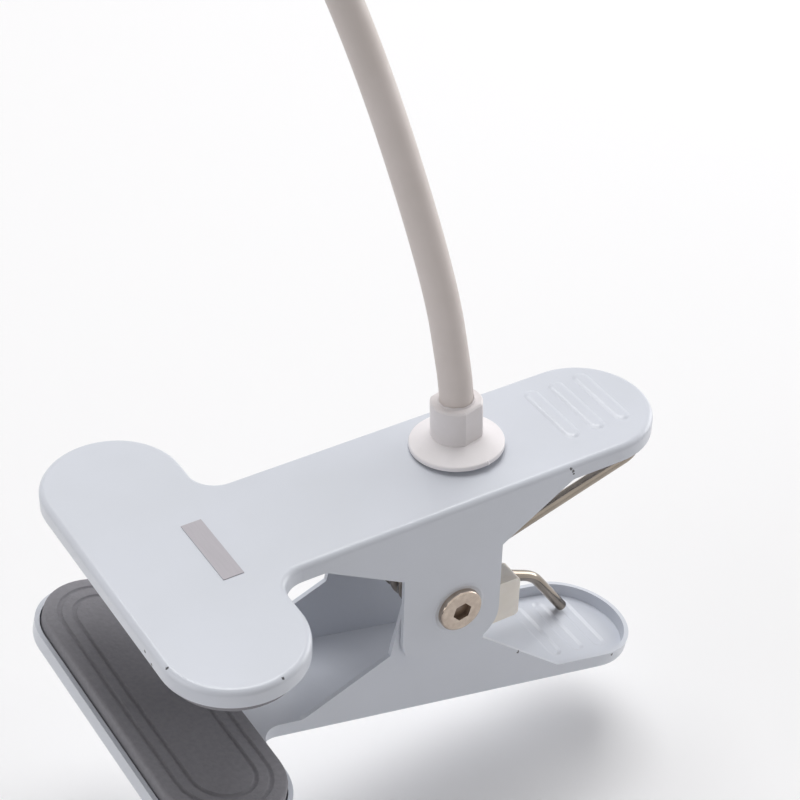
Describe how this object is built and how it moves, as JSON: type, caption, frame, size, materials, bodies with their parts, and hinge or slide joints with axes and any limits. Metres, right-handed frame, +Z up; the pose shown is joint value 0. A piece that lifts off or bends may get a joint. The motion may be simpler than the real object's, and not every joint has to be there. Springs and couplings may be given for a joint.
{
  "type": "clamp lamp",
  "caption": "Clamp lamp: a pressed steel spring clip with grip pads, a sleeved gooseneck from its upper arm, and a small bell shade with a push switch on its head.",
  "frame": {"origin": "middle of the upper pad's gripping face, which rests on top of the table", "axes": "+X from the jaws to the handles, +Y along the pivot to the side that the neck leans to, +Z up"},
  "size_m": [0.2794, 0.1731, 0.377],
  "materials": {
    "blue_enamel": "pale blue satin enamel on pressed steel",
    "shade_enamel": "pale blue satin enamel on a spun shade",
    "pad_rubber": "mid grey moulded rubber, matt",
    "label": "bare grey printed foil",
    "nickel": "bright nickel plating",
    "spring_wire": "nickel plated spring wire",
    "nylon": "natural white nylon",
    "white_plastic": "white moulded plastic, satin",
    "collar_plastic": "warm grey moulded plastic",
    "neck_sleeve": "warm grey soft vinyl sleeve, smooth",
    "neck_conduit": "zinc plated wound steel",
    "zinc_steel": "bright zinc plating",
    "grommet_rubber": "black rubber",
    "switch_plastic": "black moulded plastic",
    "holder_plastic": "white heat-proof plastic",
    "brass": "pressed brass",
    "bulb_glass": "opal glass",
    "bulb_cap": "rolled aluminium screw cap",
    "solder": "black glass insulator with a solder point"
  },
  "bodies": {
    "clip": {"upper_jaw": "blue_enamel", "upper_pad": "pad_rubber", "label_plate": "label", "pivot_screw": "nickel", "pivot_nut": "nickel", "spring_guide": "nylon", "spring_spacer": "nylon", "clamp_spring": "spring_wire", "neck_flange": "white_plastic", "neck_collar": "collar_plastic", "neck_nipple": "zinc_steel", "nipple_washer": "zinc_steel", "nipple_nut": "zinc_steel", "neck_sleeve_base": "neck_sleeve", "neck_conduit_base": "neck_conduit"},
    "lower_clip": {"lower_jaw": "blue_enamel", "lower_pad": "pad_rubber"},
    "neck_lower": {"neck_sleeve_lower": "neck_sleeve", "neck_conduit_lower": "neck_conduit"},
    "neck_upper": {"neck_sleeve_upper": "neck_sleeve", "neck_conduit_upper": "neck_conduit"},
    "neck_top": {"neck_sleeve_top": "neck_sleeve", "neck_conduit_top": "neck_conduit"},
    "head": {"head_ferrule": "collar_plastic", "head_nipple": "zinc_steel", "head_nut": "zinc_steel", "head_housing": "blue_enamel", "cord_grommet": "grommet_rubber", "switch_body": "switch_plastic", "switch_bezel": "nickel", "holder_cap": "holder_plastic", "holder_body": "holder_plastic", "holder_shell": "brass", "holder_contact": "brass", "shade": "shade_enamel", "shade_ring": "holder_plastic", "bulb_glass": "bulb_glass", "bulb_cap": "bulb_cap", "bulb_contact": "solder"},
    "button": {"switch_button": "white_plastic"}
  },
  "joints": [
    {"name": "jaw_pivot", "type": "hinge", "parent": "clip", "child": "lower_clip", "pos_m": [0.0677, 0, -0.0245], "axis": [0, 1, 0], "range_deg": [-45, 19], "stiffness_Nm_per_rad": 1.5, "deforming": ["clamp_spring"]},
    {"name": "neck_bend_base", "type": "hinge", "parent": "clip", "child": "neck_lower", "pos_m": [0.0766, 0.0105, 0.0536], "axis": [0, 1, 0], "range_deg": [-25, 30], "deforming": ["neck_sleeve_base", "neck_conduit_base"]},
    {"name": "neck_bend_side", "type": "hinge", "parent": "neck_lower", "child": "neck_upper", "pos_m": [0.052, 0.066, 0.165], "axis": [1, 0, 0], "range_deg": [-30, 30], "deforming": ["neck_sleeve_lower", "neck_conduit_lower"]},
    {"name": "neck_bend_arch", "type": "hinge", "parent": "neck_upper", "child": "neck_top", "pos_m": [-0.004, 0.08, 0.28], "axis": [0, 1, 0], "range_deg": [-10, 35], "deforming": ["neck_sleeve_upper", "neck_conduit_upper"]},
    {"name": "head_bend", "type": "hinge", "parent": "neck_top", "child": "head", "pos_m": [-0.092, 0.07, 0.284], "axis": [0, 1, 0], "range_deg": [-20, 45], "deforming": ["neck_sleeve_top", "neck_conduit_top"]},
    {"name": "switch_press", "type": "slide", "parent": "head", "child": "button", "axis": [0, 0, -1], "range_m": [0, 0.002], "stiffness_N_per_m": 800}
  ]
}
